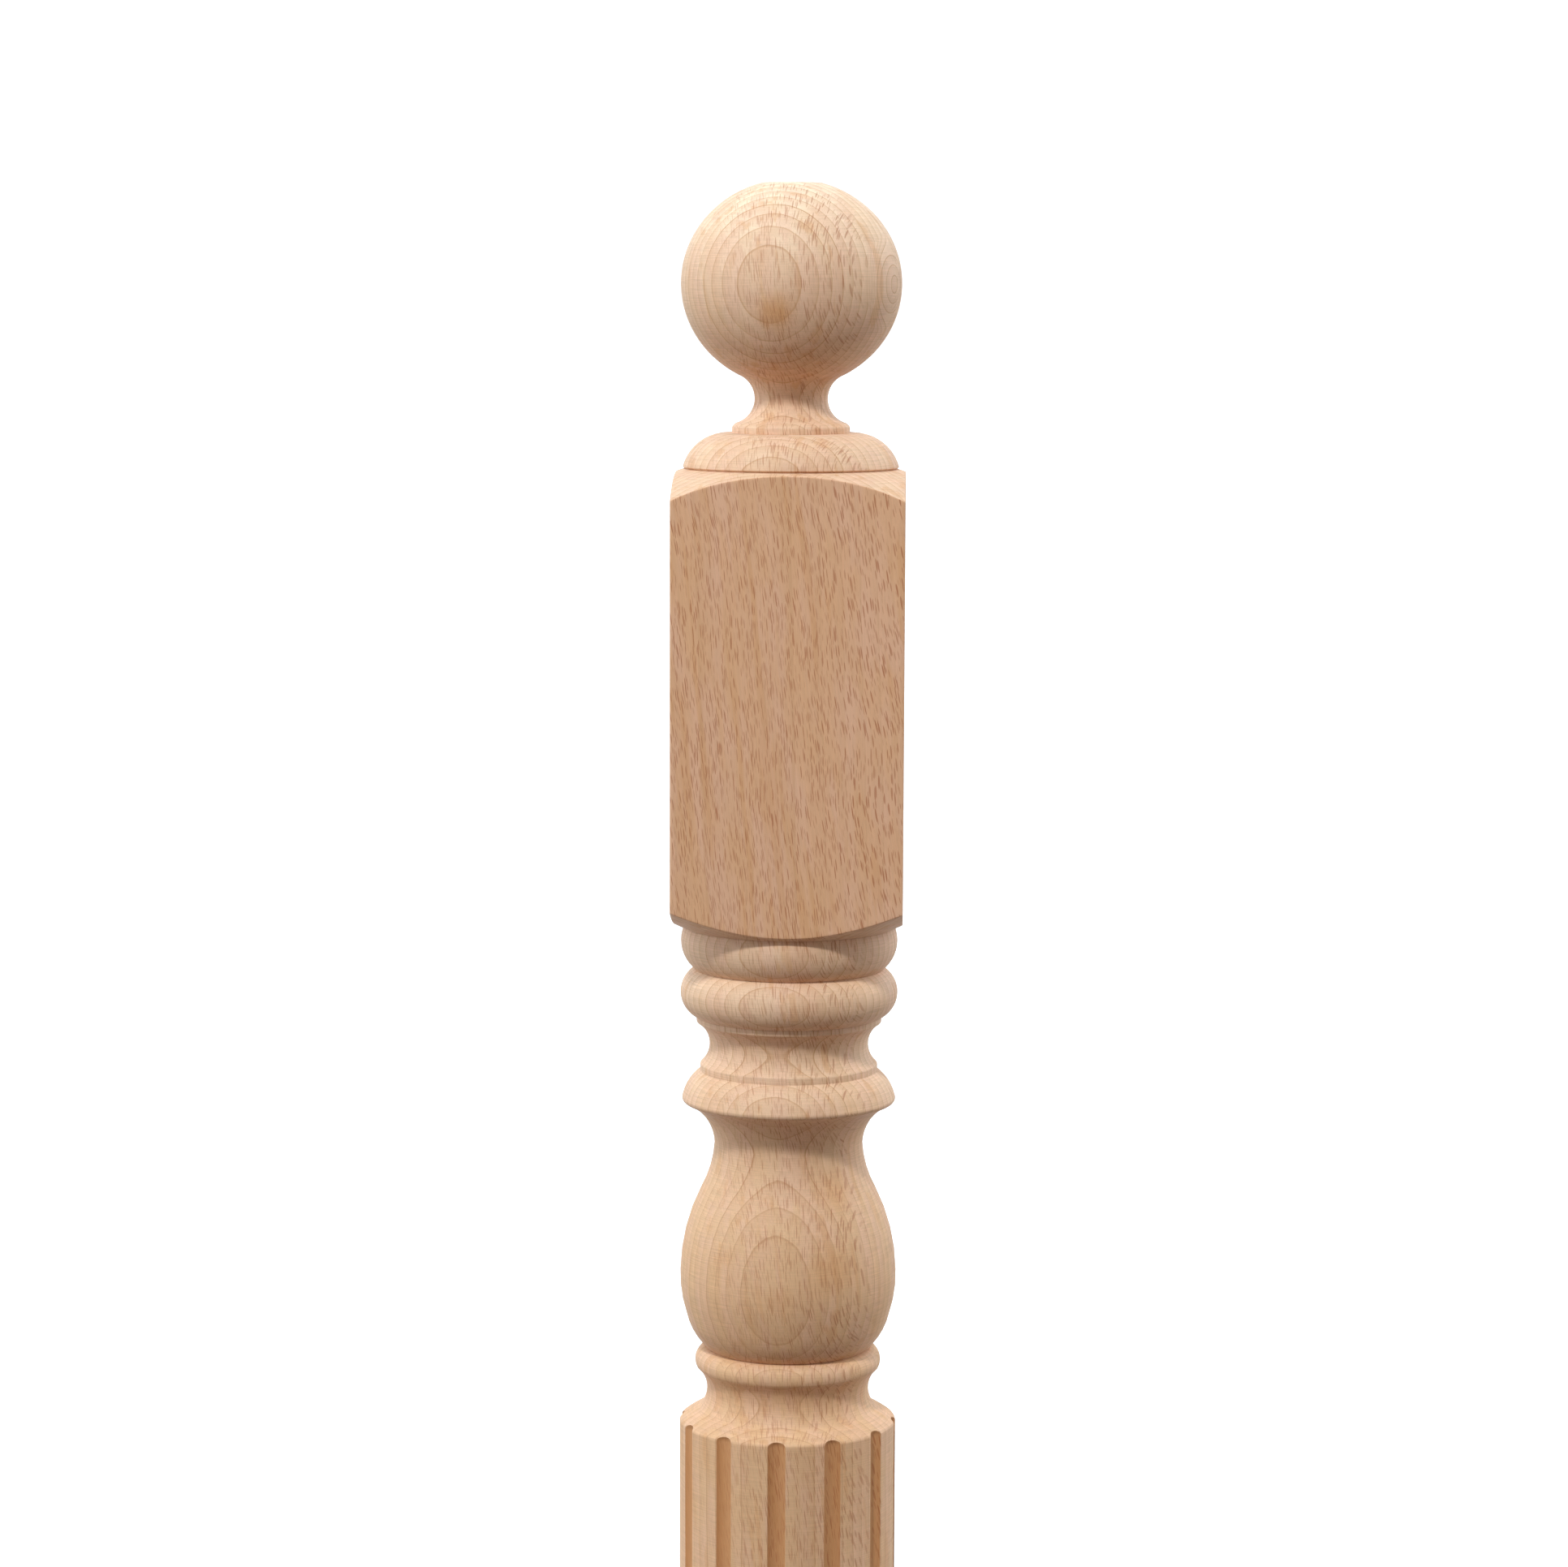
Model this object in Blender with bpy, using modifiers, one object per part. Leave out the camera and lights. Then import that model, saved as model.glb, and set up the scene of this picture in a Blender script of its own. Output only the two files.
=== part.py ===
"""A turned newel post for a stair, made from one square blank of beech.

The post stands on its underside at the origin, with +Z up and its front towards -Y.
From the top down it has a ball on a thin neck, a cushion mould, the square block that takes
the handrail, a run of rings and coves, a vase, a fluted shaft, a plainer set of mouldings
and the square base block.
"""

import math

import bmesh
import bpy

MM = 0.001

# Blank; each CUT below is how far in from its flats the lathe takes that member
BLANK_WIDTH = 90.0 * MM
LATHE_MARGIN = 2.0 * MM

# Ball and neck
BALL_CUT = 1.9 * MM
BALL_HALF_HEIGHT = 40.4 * MM
BALL_FLAT_RADIUS = 11.5 * MM
BALL_FOOT_RADIUS = 20.8 * MM
BALL_STEPS = 12
NECK_HEIGHT = 18.8 * MM
NECK_HOLLOW = 6.9 * MM
COLLAR_RADIUS = 23.1 * MM
COLLAR_EASE = 1.4 * MM
COLLAR_HEIGHT = 2.4 * MM

# Cushion mould over the upper block
CUSHION_CUT = 2.6 * MM
CUSHION_HEIGHT = 13.2 * MM
CUSHION_BULGE = 4.3 * MM
QUIRK_DEPTH = 0.9 * MM
QUIRK_HEIGHT = 0.7 * MM

# Square blocks and their turned shoulders
UPPER_BLOCK_LENGTH = 156.5 * MM
TOP_SHOULDER_DROP = 12.2 * MM
TOP_SHOULDER_BULGE = 1.2 * MM
LOWER_SHOULDER_DROP = 12.3 * MM
LOWER_SHOULDER_BULGE = 0.3 * MM
SHOULDER_NECK_CUT = 3.2 * MM
BASE_BLOCK_LENGTH = 230.2 * MM

# Twin rings under the upper block
RING_CUT = 1.9 * MM
RING_CREASE_CUT = 7.6 * MM
UPPER_RING_HEIGHT = 16.8 * MM
UPPER_RING_BULGE = 3.0 * MM
SECOND_RING_HEIGHT = 19.2 * MM
RING_FOOT_CUT = 8.2 * MM
RING_FILLET_CUT = 8.3 * MM
RING_FILLET_HEIGHT = 2.2 * MM

# Scotia and its lip
SCOTIA_HEIGHT = 16.0 * MM
SCOTIA_HOLLOW = 3.9 * MM
LIP_CUT = 9.8 * MM
LIP_EASE = 0.9 * MM
LIP_HEIGHT = 2.6 * MM

# Broad ring over the vase
BROAD_RING_CUT = 2.7 * MM
BROAD_RING_HEIGHT = 10.4 * MM
BROAD_RING_BULGE = 1.2 * MM
BROAD_RING_EDGE_HEIGHT = 2.5 * MM
BROAD_RING_EDGE_DEPTH = 1.3 * MM
BROAD_RING_EDGE_BULGE = 0.65 * MM
THROAT_CUT = 15.5 * MM
THROAT_HEIGHT = 16.4 * MM
THROAT_HOLLOW = 2.9 * MM

# Vase
VASE_CUT = 1.9 * MM
VASE_NECK_HEIGHT = 18.8 * MM
VASE_NECK_FLARE = 5.4 * MM
VASE_NECK_HOLLOW = 1.1 * MM
VASE_SWELL_HEIGHT = 32.9 * MM
VASE_SWELL_BULGE = 1.9 * MM
VASE_BELLY_HEIGHT = 17.5 * MM
VASE_BELLY_TURN = 2.5 * MM
VASE_BELLY_BULGE = 0.8 * MM
VASE_FOOT_HEIGHT = 13.8 * MM
VASE_FOOT_CUT = 12.6 * MM
VASE_FOOT_BULGE = 1.3 * MM

# Bead, cove and thumb mould above the shaft; the lower end of the shaft repeats the last two
BEAD_HEIGHT = 8.0 * MM
BEAD_FOOT_CUT = 8.5 * MM
BEAD_BULGE = 2.3 * MM
COVE_HEIGHT = 17.0 * MM
COVE_HOLLOW = 3.5 * MM
COVE_FOOT_CUT = 9.8 * MM
THUMB_HEIGHT = 4.9 * MM
THUMB_BULGE = 0.2 * MM

# Fluted shaft
SHAFT_LENGTH = 424.0 * MM
SHAFT_CUT = 1.7 * MM
FLUTE_COUNT = 12
FLUTE_CUTTER_RADIUS = 4.0 * MM
FLUTE_DEPTH = 2.35 * MM
FLUTE_START = 1.3 * MM
FLUTE_PHASE = math.radians(-4.0)

# Torus on the base block
TORUS_HEIGHT = 18.0 * MM
TORUS_FOOT_CUT = 3.5 * MM
TORUS_TOP_CUT = 7.5 * MM
TORUS_BULGE = 3.6 * MM
TORUS_FILLET_HEIGHT = 2.0 * MM

# Facets
TURNED_SEGMENTS = 36
CUTTER_SEGMENTS = 16
CUTTER_STEPS = 3
SMOOTH_ANGLE = math.radians(32.0)
WELD_DISTANCE = 0.00001

# What the cuts leave of the blank
HALF_WIDTH = BLANK_WIDTH / 2.0
BALL_RADIUS = HALF_WIDTH - BALL_CUT
CUSHION_RADIUS = HALF_WIDTH - CUSHION_CUT
SHOULDER_NECK_RADIUS = HALF_WIDTH - SHOULDER_NECK_CUT
RING_RADIUS = HALF_WIDTH - RING_CUT
RING_CREASE_RADIUS = HALF_WIDTH - RING_CREASE_CUT
RING_FOOT_RADIUS = HALF_WIDTH - RING_FOOT_CUT
RING_FILLET_RADIUS = HALF_WIDTH - RING_FILLET_CUT
LIP_RADIUS = HALF_WIDTH - LIP_CUT
BROAD_RING_RADIUS = HALF_WIDTH - BROAD_RING_CUT
THROAT_RADIUS = HALF_WIDTH - THROAT_CUT
VASE_RADIUS = HALF_WIDTH - VASE_CUT
VASE_FOOT_RADIUS = HALF_WIDTH - VASE_FOOT_CUT
BEAD_FOOT_RADIUS = HALF_WIDTH - BEAD_FOOT_CUT
COVE_FOOT_RADIUS = HALF_WIDTH - COVE_FOOT_CUT
SHAFT_RADIUS = HALF_WIDTH - SHAFT_CUT
TORUS_FOOT_RADIUS = HALF_WIDTH - TORUS_FOOT_CUT
TORUS_TOP_RADIUS = HALF_WIDTH - TORUS_TOP_CUT
HALF_DIAGONAL = BLANK_WIDTH / math.sqrt(2.0)
LATHE_RADIUS = HALF_DIAGONAL + LATHE_MARGIN


class Profile:
    """The half outline of a turned shape, drawn from its top down its outer side."""

    def __init__(self):
        self.points = [(0.0, 0.0)]

    def line(self, radius, drop):
        """A straight run to a radius, drop lower than the last point."""
        height = self.points[-1][1] - drop
        self.points.append((radius, height))

    def arc(self, radius, drop, bulge, steps):
        """A circular run that stands bulge proud of its chord, or lies that far inside it."""
        r0, z0 = self.points[-1]
        r1, z1 = radius, z0 - drop
        chord = math.hypot(r1 - r0, z1 - z0)
        curve = (chord * chord / 4.0 + bulge * bulge) / (2.0 * bulge)
        out_r, out_z = (z0 - z1) / chord, (r1 - r0) / chord
        centre_r = (r0 + r1) / 2.0 + out_r * (bulge - curve)
        centre_z = (z0 + z1) / 2.0 + out_z * (bulge - curve)
        start = math.atan2(z0 - centre_z, r0 - centre_r)
        end = math.atan2(z1 - centre_z, r1 - centre_r)
        sweep = math.remainder(end - start, 2.0 * math.pi)
        for step in range(1, steps):
            angle = start + sweep * step / steps
            r = centre_r + abs(curve) * math.cos(angle)
            z = centre_z + abs(curve) * math.sin(angle)
            self.points.append((r, z))
        self.points.append((r1, z1))

    def ball(self, radius, half_height, foot_radius, steps):
        """An oval ball from the last radius round to its foot radius."""
        r0, z0 = self.points[-1]
        start = math.acos(r0 / radius)
        end = -math.acos(foot_radius / radius)
        centre_z = z0 - half_height * math.sin(start)
        for step in range(1, steps + 1):
            angle = start + (end - start) * step / steps
            self.points.append((radius * math.cos(angle), centre_z + half_height * math.sin(angle)))


def draw_finial(outline):
    """The ball, its neck and collar, and the cushion mould."""
    outline.line(BALL_FLAT_RADIUS, 0.0)
    outline.ball(BALL_RADIUS, BALL_HALF_HEIGHT, BALL_FOOT_RADIUS, BALL_STEPS)
    outline.arc(COLLAR_RADIUS - COLLAR_EASE, NECK_HEIGHT, -NECK_HOLLOW, 7)
    outline.line(COLLAR_RADIUS, COLLAR_EASE)
    outline.line(COLLAR_RADIUS, COLLAR_HEIGHT)
    outline.arc(CUSHION_RADIUS, CUSHION_HEIGHT, CUSHION_BULGE, 5)
    outline.line(CUSHION_RADIUS - QUIRK_DEPTH, QUIRK_HEIGHT)


def draw_upper_block(outline):
    """The cut of the lathe round the upper block, whose square faces stay inside it."""
    outline.arc(LATHE_RADIUS, TOP_SHOULDER_DROP, TOP_SHOULDER_BULGE, 3)
    outline.line(LATHE_RADIUS, UPPER_BLOCK_LENGTH)
    outline.arc(SHOULDER_NECK_RADIUS, LOWER_SHOULDER_DROP, LOWER_SHOULDER_BULGE, 2)


def draw_rings(outline):
    """The twin rings, the scotia and the broad ring, down to the throat of the vase."""
    outline.arc(RING_CREASE_RADIUS, UPPER_RING_HEIGHT, UPPER_RING_BULGE, 5)
    mean_radius = (RING_CREASE_RADIUS + RING_FOOT_RADIUS) / 2.0
    outline.arc(RING_FOOT_RADIUS, SECOND_RING_HEIGHT, RING_RADIUS - mean_radius, 6)
    outline.line(RING_FILLET_RADIUS, RING_FILLET_HEIGHT)
    outline.arc(LIP_RADIUS - LIP_EASE, SCOTIA_HEIGHT, -SCOTIA_HOLLOW, 6)
    outline.line(LIP_RADIUS, LIP_EASE)
    outline.line(LIP_RADIUS, LIP_HEIGHT)
    outline.arc(BROAD_RING_RADIUS, BROAD_RING_HEIGHT, BROAD_RING_BULGE, 4)
    edge_foot = BROAD_RING_RADIUS - BROAD_RING_EDGE_DEPTH
    outline.arc(edge_foot, BROAD_RING_EDGE_HEIGHT, BROAD_RING_EDGE_BULGE, 2)
    outline.arc(THROAT_RADIUS, THROAT_HEIGHT, -THROAT_HOLLOW, 5)


def draw_vase(outline):
    """The vase, from its throat to the crease over the bead."""
    outline.arc(THROAT_RADIUS + VASE_NECK_FLARE, VASE_NECK_HEIGHT, -VASE_NECK_HOLLOW, 3)
    outline.arc(VASE_RADIUS, VASE_SWELL_HEIGHT, VASE_SWELL_BULGE, 3)
    outline.arc(VASE_RADIUS - VASE_BELLY_TURN, VASE_BELLY_HEIGHT, VASE_BELLY_BULGE, 2)
    outline.arc(VASE_FOOT_RADIUS, VASE_FOOT_HEIGHT, VASE_FOOT_BULGE, 3)


def draw_shaft(outline):
    """The bead, and the shaft with a thumb and cove at each end; gives the top of the shaft."""
    outline.arc(BEAD_FOOT_RADIUS, BEAD_HEIGHT, BEAD_BULGE, 5)
    outline.arc(COVE_FOOT_RADIUS, COVE_HEIGHT, -COVE_HOLLOW, 5)
    outline.arc(SHAFT_RADIUS, THUMB_HEIGHT, THUMB_BULGE, 2)
    shaft_top = outline.points[-1][1]
    outline.line(SHAFT_RADIUS, SHAFT_LENGTH)
    outline.arc(COVE_FOOT_RADIUS, THUMB_HEIGHT, THUMB_BULGE, 2)
    outline.arc(TORUS_TOP_RADIUS, COVE_HEIGHT, -COVE_HOLLOW, 5)
    return shaft_top


def draw_base(outline):
    """The torus, the shoulder and the base block, down to the underside."""
    outline.line(TORUS_TOP_RADIUS, TORUS_FILLET_HEIGHT)
    outline.arc(TORUS_FOOT_RADIUS, TORUS_HEIGHT, TORUS_BULGE, 5)
    outline.arc(LATHE_RADIUS, TOP_SHOULDER_DROP, TOP_SHOULDER_BULGE, 3)
    outline.line(LATHE_RADIUS, BASE_BLOCK_LENGTH)
    outline.line(0.0, 0.0)


def post_outline():
    """The whole outline with its foot at zero, and the height of the top of the shaft."""
    outline = Profile()
    draw_finial(outline)
    draw_upper_block(outline)
    draw_rings(outline)
    draw_vase(outline)
    shaft_top = draw_shaft(outline)
    draw_base(outline)
    foot = outline.points[-1][1]
    return [(r, z - foot) for r, z in outline.points], shaft_top - foot


def flute_cutter_outline():
    """The half outline of one flute's cut: a straight run with a round nose at each end."""
    points = []
    straight = SHAFT_LENGTH / 2.0 - FLUTE_START
    for end, first_angle in ((straight, math.pi / 2.0), (-straight, 0.0)):
        for step in range(CUTTER_STEPS + 1):
            angle = first_angle - math.pi / 2.0 * step / CUTTER_STEPS
            r = FLUTE_CUTTER_RADIUS * math.cos(angle)
            points.append((r, end + FLUTE_CUTTER_RADIUS * math.sin(angle)))
    return points


def turned_object(name, points, segments, collection):
    """An object whose half outline is turned round its own Z axis by a Screw modifier."""
    mesh = bpy.data.meshes.new(name)
    outline = bmesh.new()
    corners = [outline.verts.new((r, 0.0, z)) for r, z in points]
    for upper, lower in zip(corners, corners[1:]):
        outline.edges.new((upper, lower))
    outline.to_mesh(mesh)
    outline.free()
    piece = bpy.data.objects.new(name, mesh)
    collection.objects.link(piece)
    screw = piece.modifiers.new("Turn", "SCREW")
    screw.axis = "Z"
    screw.angle = math.tau
    screw.steps = segments
    screw.render_steps = segments
    screw.use_merge_vertices = True
    screw.merge_threshold = WELD_DISTANCE
    return piece


def square_blank(height, collection):
    """The square blank that the post is cut from, standing on the floor."""
    mesh = bpy.data.meshes.new("blank")
    box = bmesh.new()
    bmesh.ops.create_cube(box, size=1.0)
    bmesh.ops.scale(box, vec=(BLANK_WIDTH, BLANK_WIDTH, height), verts=box.verts)
    bmesh.ops.translate(box, vec=(0.0, 0.0, height / 2.0), verts=box.verts)
    box.to_mesh(mesh)
    box.free()
    blank = bpy.data.objects.new("blank", mesh)
    collection.objects.link(blank)
    return blank


def hide_cutter(cutter):
    """A cutter is a guide, and no part of the post."""
    cutter.hide_render = True
    cutter.display_type = "WIRE"


def add_flute_cutters(shaft_top, collection):
    """One bit for each flute, spaced evenly round the shaft."""
    first = turned_object("flute_cutter", flute_cutter_outline(), CUTTER_SEGMENTS, collection)
    orbit = SHAFT_RADIUS + FLUTE_CUTTER_RADIUS - FLUTE_DEPTH
    middle = shaft_top - SHAFT_LENGTH / 2.0
    for index in range(FLUTE_COUNT):
        cutter = first
        if index:
            cutter = first.copy()
            collection.objects.link(cutter)
        angle = FLUTE_PHASE + math.tau * index / FLUTE_COUNT
        cutter.location = (orbit * math.sin(angle), -orbit * math.cos(angle), middle)
        cutter.rotation_euler.z = angle
        hide_cutter(cutter)


def beech():
    """Bare sanded beech."""
    material = bpy.data.materials.new("beech")
    material.use_nodes = True
    shader = material.node_tree.nodes["Principled BSDF"]
    shader.inputs["Base Color"].default_value = (0.72, 0.50, 0.33, 1.0)
    shader.inputs["Roughness"].default_value = 0.6
    shader.inputs["Metallic"].default_value = 0.0
    return material


def cut_piece(raw, name, collection):
    """The finished mesh of an object with its modifiers carried out, smooth where it is round."""
    bpy.context.view_layer.update()
    graph = bpy.context.evaluated_depsgraph_get()
    mesh = bpy.data.meshes.new_from_object(raw.evaluated_get(graph))
    mesh.name = name
    mesh.shade_smooth()
    mesh.set_sharp_from_angle(angle=SMOOTH_ANGLE)
    piece = bpy.data.objects.new(name, mesh)
    piece.matrix_world = raw.matrix_world
    collection.objects.link(piece)
    bpy.data.objects.remove(raw)
    return piece


def new_collection(name):
    """A collection of that name in the scene."""
    collection = bpy.data.collections.new(name)
    bpy.context.scene.collection.children.link(collection)
    return collection


def build_post():
    """The post: a turned outline, kept inside the square blank, with its flutes cut."""
    parts = new_collection("newel post")
    guides = new_collection("cutters")
    flutes = new_collection("flute cutters")
    outline, shaft_top = post_outline()
    turned = turned_object("turned_post", outline, TURNED_SEGMENTS, parts)
    turned.rotation_euler.z = math.pi / TURNED_SEGMENTS
    blank = square_blank(outline[0][1], guides)
    hide_cutter(blank)
    add_flute_cutters(shaft_top, flutes)
    square = turned.modifiers.new("Square", "BOOLEAN")
    square.operation = "INTERSECT"
    square.object = blank
    fluting = turned.modifiers.new("Flutes", "BOOLEAN")
    fluting.operation = "DIFFERENCE"
    fluting.operand_type = "COLLECTION"
    fluting.collection = flutes
    post = cut_piece(turned, "newel_post", parts)
    post.data.materials.clear()
    post.data.materials.append(beech())


def main():
    """Clears the scene and builds the post."""
    for old in list(bpy.data.objects):
        bpy.data.objects.remove(old)
    build_post()


main()
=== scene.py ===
"""A turned newel post in bare beech, with its growth rings, flecks and tool marks, in a plain studio."""

import math

import bmesh
import bpy
from bpy.props import FloatProperty, FloatVectorProperty, IntProperty, PointerProperty
from mathutils import Matrix, Vector


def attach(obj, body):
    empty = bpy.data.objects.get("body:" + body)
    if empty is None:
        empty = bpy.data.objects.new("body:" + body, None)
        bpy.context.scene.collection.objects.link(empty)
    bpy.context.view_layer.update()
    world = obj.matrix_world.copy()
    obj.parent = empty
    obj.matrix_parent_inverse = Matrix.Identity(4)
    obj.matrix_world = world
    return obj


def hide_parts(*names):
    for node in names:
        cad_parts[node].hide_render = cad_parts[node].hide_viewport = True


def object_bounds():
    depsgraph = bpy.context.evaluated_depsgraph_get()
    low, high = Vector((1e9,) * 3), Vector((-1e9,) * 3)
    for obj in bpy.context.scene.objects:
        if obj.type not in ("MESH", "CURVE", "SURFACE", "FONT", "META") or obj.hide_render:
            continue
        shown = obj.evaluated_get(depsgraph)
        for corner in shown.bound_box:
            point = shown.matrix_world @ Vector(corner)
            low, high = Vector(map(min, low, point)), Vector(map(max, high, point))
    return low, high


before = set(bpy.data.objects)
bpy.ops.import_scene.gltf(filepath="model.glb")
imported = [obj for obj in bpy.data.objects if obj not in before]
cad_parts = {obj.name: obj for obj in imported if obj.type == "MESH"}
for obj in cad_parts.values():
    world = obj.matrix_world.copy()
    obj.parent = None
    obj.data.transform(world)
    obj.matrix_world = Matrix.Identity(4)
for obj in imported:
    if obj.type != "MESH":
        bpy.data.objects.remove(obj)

bl_info = {
    "name": "Turned newel post",
    "version": (1, 0, 0),
    "blender": (4, 5, 0),
    "location": "View3D > Sidebar > Newel post",
    "description": "Builds a ball-topped, turned and fluted newel post in bare beech",
    "category": "Object",
}

MM = 0.001
PER_MM = 1000.0
CAD_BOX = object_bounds()

# Rows and columns of the post's mesh: the turns from one to the next, the angles that count as
# corners, where they lie as shares of an edge or a flute's half width, and steps in millimetres
ARC_STEP = math.radians(8.0)
BALL_STEP = math.radians(4.0)
LAND_STEP = math.radians(2.15)
CREASE_ANGLE = math.radians(30.0)
CORNER_ANGLE = math.radians(25.0)
FINE_SHARES = (0.0, 0.25, 0.49, 0.68, 0.82, 0.91, 0.965, 1.0, 1.04, 1.09, 1.18, 1.35)
COARSE_SHARES = (0.0, 0.49, 1.0, 1.35)
CORNER_SHARES = (-1.0, -0.6, -0.2, 0.2, 0.6, 1.0)
SHOULDER_SHARES = (0.25, 0.5, 0.75, 0.92)
EASE_SHARES = (0.0, 0.33, 0.67, 1.0)
FACE_SHARES = (0.0, 0.02, 0.5, 0.98, 1.0)
SLOPE_STEPS = (7.5, 5.5, 4.0, 3.2, 2.7, 2.3, 1.95, 1.6, 1.3, 1.1)
SHAFT_STEPS = (1.1, 1.3, 1.5, 1.8, 2.2, 3.0, 6.0)
ARRIS_SHARES = (0.0, 0.2, 0.4, 0.6, 0.8, 1.0)
FLAT_SHARES = (0.15, 0.5, 0.85, 1.0)
EDGE_SHARE = 0.4
FACE_START = 3.0
FOOT_SHARE = 0.3

# Patches in the wood, in millimetres: round the tree, outwards and along the grain
WANDER = (40.0, 40.0, 120.0)
RIPPLE = (7.0, 7.0, 20.0)
SWAY = (30.0, 30.0, 50.0)
STREAKS = (5.0, 5.0, 170.0)
BLUSH = (7.0, 9.0, 38.0)
WARMTH = (16.0, 20.0, 45.0)
FIBRES = (1.0 / 2.6, 1.0 / 2.6, 1.0 / 0.07)

# How far the rings wander and ripple and the rays sway, in millimetres
WANDER_REACH = 2.0
RIPPLE_REACH = 0.5
SWAY_REACH = 5.0

# Shifts that keep patches, and small rays, from repeating others
BLUSH_SHIFT = 31.0
WARMTH_SHIFT = 11.0
SMALL_RAY_SHIFT = 7.3

# Where masks begin and are full: depths in millimetres, shares of a year, and noise
FACE_DEPTHS = (0.35, 0.1)
FLUTE_DEPTHS = (0.06, 0.3)
# Painted shade: how far from a crease its dark line begins and is full
CREASE_SHADE_REACH = (0.35, 0.1)
BAND_YEAR = (0.05, 0.95)
LINE_YEAR = (0.88, 0.96)
YEAR_END = (1.0, 0.985)
STREAK_NOISE = (0.57, 0.68)
BLUSH_NOISE = (0.4, 0.6)
WARMTH_NOISE = (0.45, 0.65)

# Heights below the ball's middle, in millimetres, where the wood turns ruddy, and where painted light
# makes the ball's top palest
RUDDY_DROP = (280.0, 390.0)
PAINTED_LIGHT_DROP = (0.0, -39.0)

# The swirl: its even core, the year of its middle, and years that keep the count above nought
SWIRL_CORE = 0.6
SWIRL_YEAR = 7.92
SPARE_YEARS = 60.0

# Rays: depth of one, how much smaller the small ones are, their edges in their own room, and
# how dark the faintest is and how much darker the darkest
RAY_DEPTH = 8.0
SMALL_RAY_DEPTH = 6.0
SMALL_RAY_WIDTH = 0.8
SMALL_RAYS_LONG = 1.4
RAY_EDGE = (0.35, 0.25)
SMALL_RAY_EDGE = (0.33, 0.23)
RAY_DARKNESS = (0.6, 0.4)
SMALL_RAY_DARKNESS = (0.25, 0.5)

# Rays: how far out new ones begin, in millimetres, and how far to the left they fade
NEW_RAYS = (100.0, 100.5)
LEFT_FADE = (-36.0, -6.0)

# Rays: how much a surface faces them where they begin and are full, their least, and the rest
TURNED_FACING = (0.1, 0.4)
PLANED_FACING = (0.3, 0.7)
TURNED_RAYS = (0.06, 0.56)
PLANED_RAYS = (0.23, 0.57)

# How strongly a ring's line shows, how much more in strong years, and in the swirl
LINE_VIGOUR = (0.5, 0.6, 0.8)

# Marks of the lathe: how many round and down the post, their roughness, and their strength
LATHE_ROUND = 3.0
LATHE_DOWN = 2.2
LATHE_NOISE = 0.7
LATHE_STRENGTH = 1.6

# How strongly each colour is laid on turned wood, and how much more on planed wood
# The first is painted light that pales the ball's top, as if lit from above
PAINTED_LIGHT_LAYER = 0.8
BLUSH_LAYER = 0.4
HONEY_LAYER = (0.25, 0.15)
STREAK_LAYER = 0.4
BAND_LAYER = (0.25, -0.15)
LINE_LAYER = (0.85, -0.65)
FLUTE_LAYER = 0.85
FLECK_LAYER = 0.9
# Painted shade: the dark line along the creases
CREASE_SHADE_LAYER = 0.1

# Plain brightness, relief in millimetres and roughness, with what each mark adds
PLAIN_TONE = 0.85
TONE = {"fibre": 0.3, "lathe": 0.28}
RELIEF = {"fibre": 0.03, "line": 0.015, "fleck": -0.006, "lathe": 0.04}
ROUGHNESS = {"fibre": 0.08, "line": -0.06}
WOOD_SPECULAR = 0.3

# Warm stains: the middle and the reach of each, in millimetres, and how strong it is
STAINS = (((-5.0, -42.0, 1150.0), 12.0, 0.85), ((18.0, -26.0, 806.0), 14.0, 0.5),
          ((19.0, -38.0, 778.0), 15.0, 0.5), ((-2.0, -43.0, 766.0), 9.0, 0.35))
STAIN_FEATHER = 5.0

# The floor: its finish, its own faint glow, its radius and how far below the foot it lies
FLOOR_ROUGHNESS = 0.9
FLOOR_SPECULAR = 0.1
FLOOR_GLOW = 0.4
FLOOR_RADIUS = 60.0
FLOOR_DROP = 0.0002

# Where each soft light of the studio begins and is full, by the direction that it comes from
BACK_WALL = (0.0, 0.9)
REAR_HALF = (-0.45, 0.25)
LEFT_WALL = (-0.3, -1.0)
LEFT_FRONT = 0.35
RIGHT_WALL = (0.3, 1.0)
CEILING = (0.2, 0.95)
HORIZON = (-0.08, 0.12)
FRONT_WALL = (-0.3, -0.9)
SEEN_GLOW = 1.1
LAMP_AIM = (0.0, 0.0, 1.0)


def length(name, millimetres, description):
    """A size of the post for the sidebar, given in millimetres and kept in metres."""
    return FloatProperty(name=name, description=description, default=millimetres * MM,
                         unit="LENGTH", precision=5)


def tint(name, colour, description):
    """A colour for the sidebar."""
    return FloatVectorProperty(name=name, description=description, default=colour,
                               subtype="COLOR", size=3, min=0.0, max=1.0)


def point(name, millimetres, description):
    """A place on the post for the sidebar, given in millimetres and kept in metres."""
    return FloatVectorProperty(name=name, description=description, size=3,
                               default=[value * MM for value in millimetres],
                               subtype="TRANSLATION", unit="LENGTH", precision=4)


def share(name, value, description, unit="NONE"):
    """A plain number for the sidebar, or one in watts or a lens's millimetres."""
    return FloatProperty(name=name, description=description, default=value, precision=4, unit=unit)


def turn_of(name, degrees, description):
    """An angle for the sidebar, given in degrees."""
    return FloatProperty(name=name, description=description, default=math.radians(degrees),
                         subtype="ANGLE", unit="ROTATION")


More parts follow.
